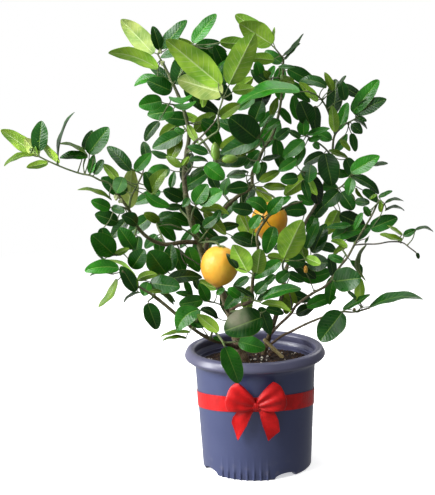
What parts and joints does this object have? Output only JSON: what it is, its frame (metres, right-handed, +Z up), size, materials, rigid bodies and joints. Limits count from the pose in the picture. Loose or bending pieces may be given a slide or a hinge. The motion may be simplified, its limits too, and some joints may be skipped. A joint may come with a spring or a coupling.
{
  "type": "potted lemon tree",
  "caption": "Young lemon tree with glossy leaves and ripe and green fruit, rooted in soil in a round plastic pot that is tied with a ribbon and a bow.",
  "frame": {"origin": "centre of the pot's underside, on the plane it stands on", "axes": "+Z up along the pot's axis; -Y towards the side that carries the bow"},
  "size_m": [0.6387, 0.2924, 0.7284],
  "materials": {
    "pot_plastic": "satin",
    "potting_mix": "matte",
    "bark": "matte",
    "cut_wood": "matte",
    "young_bark": "satin",
    "leaf": "satin",
    "lemon_rind": "satin",
    "green_rind": "satin",
    "fruitlet_rind": "satin",
    "ribbon_satin": "satin"
  },
  "bodies": {
    "root": {"bow_knot": "ribbon_satin", "bow_loop_left": "ribbon_satin", "bow_loop_right": "ribbon_satin", "bow_tail_left": "ribbon_satin", "bow_tail_right": "ribbon_satin", "cut_stem": "cut_wood", "fruitlet": "fruitlet_rind", "green_fruit_level": "green_rind", "green_fruit_upright": "green_rind", "lemon_back": "lemon_rind", "lemon_front": "lemon_rind", "limb_back_right": "young_bark", "limb_centre": "young_bark", "limb_front": "young_bark", "limb_fruit": "young_bark", "limb_leader": "young_bark", "limb_left": "young_bark", "limb_low_left": "young_bark", "limb_low_right": "young_bark", "limb_right": "young_bark", "pot": "pot_plastic", "ribbon_band": "ribbon_satin", "shoot_big_light": "leaf", "shoot_centre": "leaf", "shoot_centre_left": "leaf", "shoot_centre_right": "leaf", "shoot_centre_up": "leaf", "shoot_cross": "leaf", "shoot_drop": "leaf", "shoot_far_left": "leaf", "shoot_front_low": "leaf", "shoot_left_bottom": "leaf", "shoot_left_centre": "leaf", "shoot_left_inner": "leaf", "shoot_left_low": "leaf", "shoot_left_mass": "leaf", "shoot_left_mid": "leaf", "shoot_left_upper": "leaf", "shoot_light": "leaf", "shoot_low_left_front": "leaf", "shoot_mid_left_low": "leaf", "shoot_mid_low": "leaf", "shoot_over_soil": "leaf", "shoot_right_dark": "leaf", "shoot_right_far": "leaf", "shoot_right_inner": "leaf", "shoot_right_low": "leaf", "shoot_right_mid": "leaf", "shoot_right_top": "leaf", "shoot_right_upper": "leaf", "shoot_rim": "leaf", "shoot_silver": "leaf", "shoot_stem_side": "leaf", "shoot_top_right": "leaf", "shoot_top_right_mid": "leaf", "shoot_upper_left": "leaf", "shoot_upper_outer": "leaf", "soil": "potting_mix", "stem_second": "bark", "trunk": "bark"}
  },
  "joints": []
}
